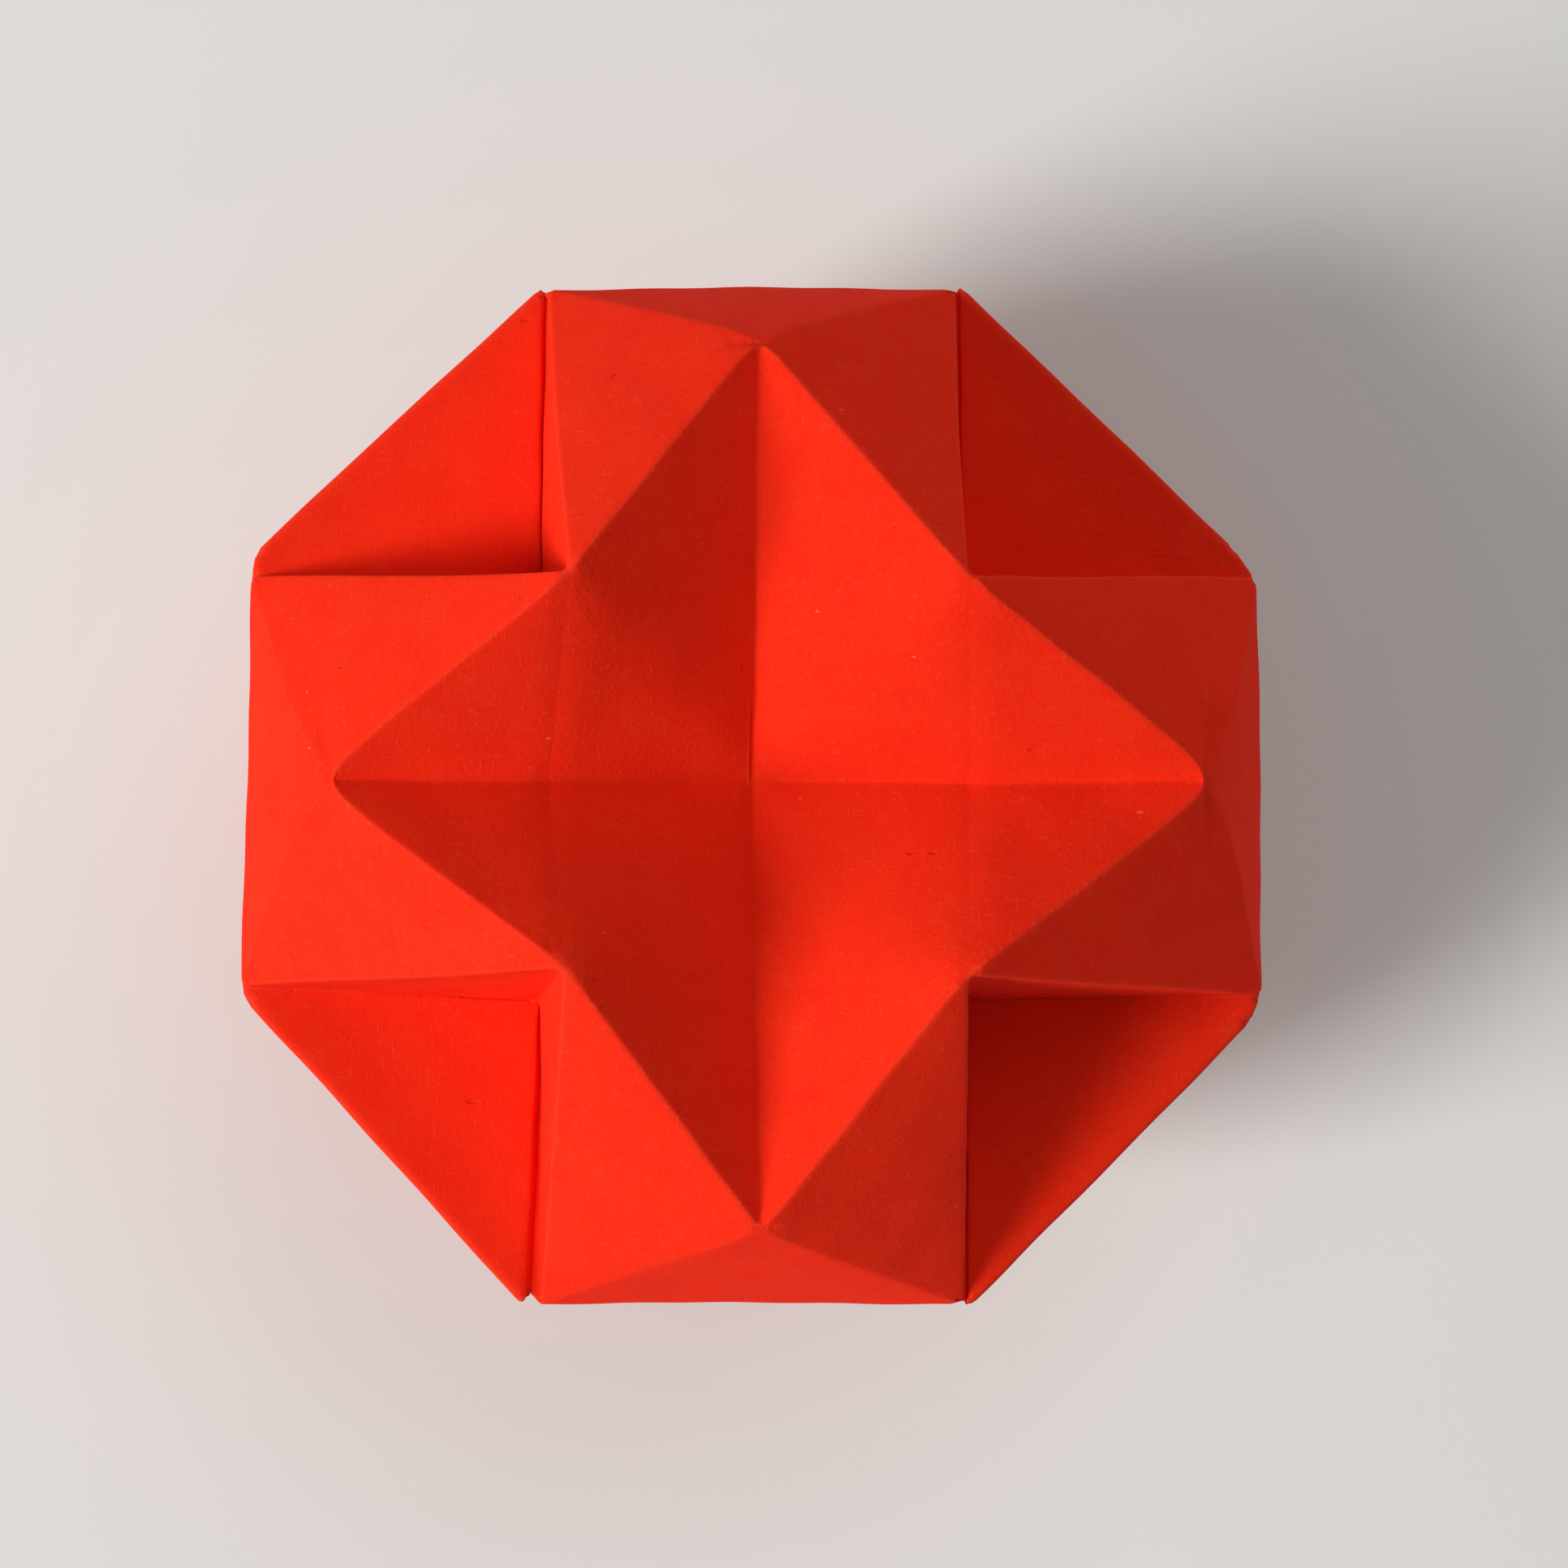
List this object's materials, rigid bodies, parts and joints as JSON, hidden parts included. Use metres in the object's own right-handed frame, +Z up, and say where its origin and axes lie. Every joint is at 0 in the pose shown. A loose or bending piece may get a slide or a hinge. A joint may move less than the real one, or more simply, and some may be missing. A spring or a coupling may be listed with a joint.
{
  "type": "spherical paper box",
  "caption": "Ball-shaped folded paper box: an eight-sided lid with a sunk four-pointed star and corner pits, pushed over a matching base.",
  "frame": {"origin": "on the surface that the box stands on, below the middle of the star", "axes": "+Z up through the middle of both stars, +X and +Y through star tips, with the tucked folds beside the flats across Y"},
  "size_m": [0.0904, 0.0904, 0.0681],
  "materials": {
    "red_paper": "matt uncoated red craft paper"
  },
  "bodies": {
    "root": {"lid": "red_paper", "base": "red_paper"}
  },
  "joints": []
}
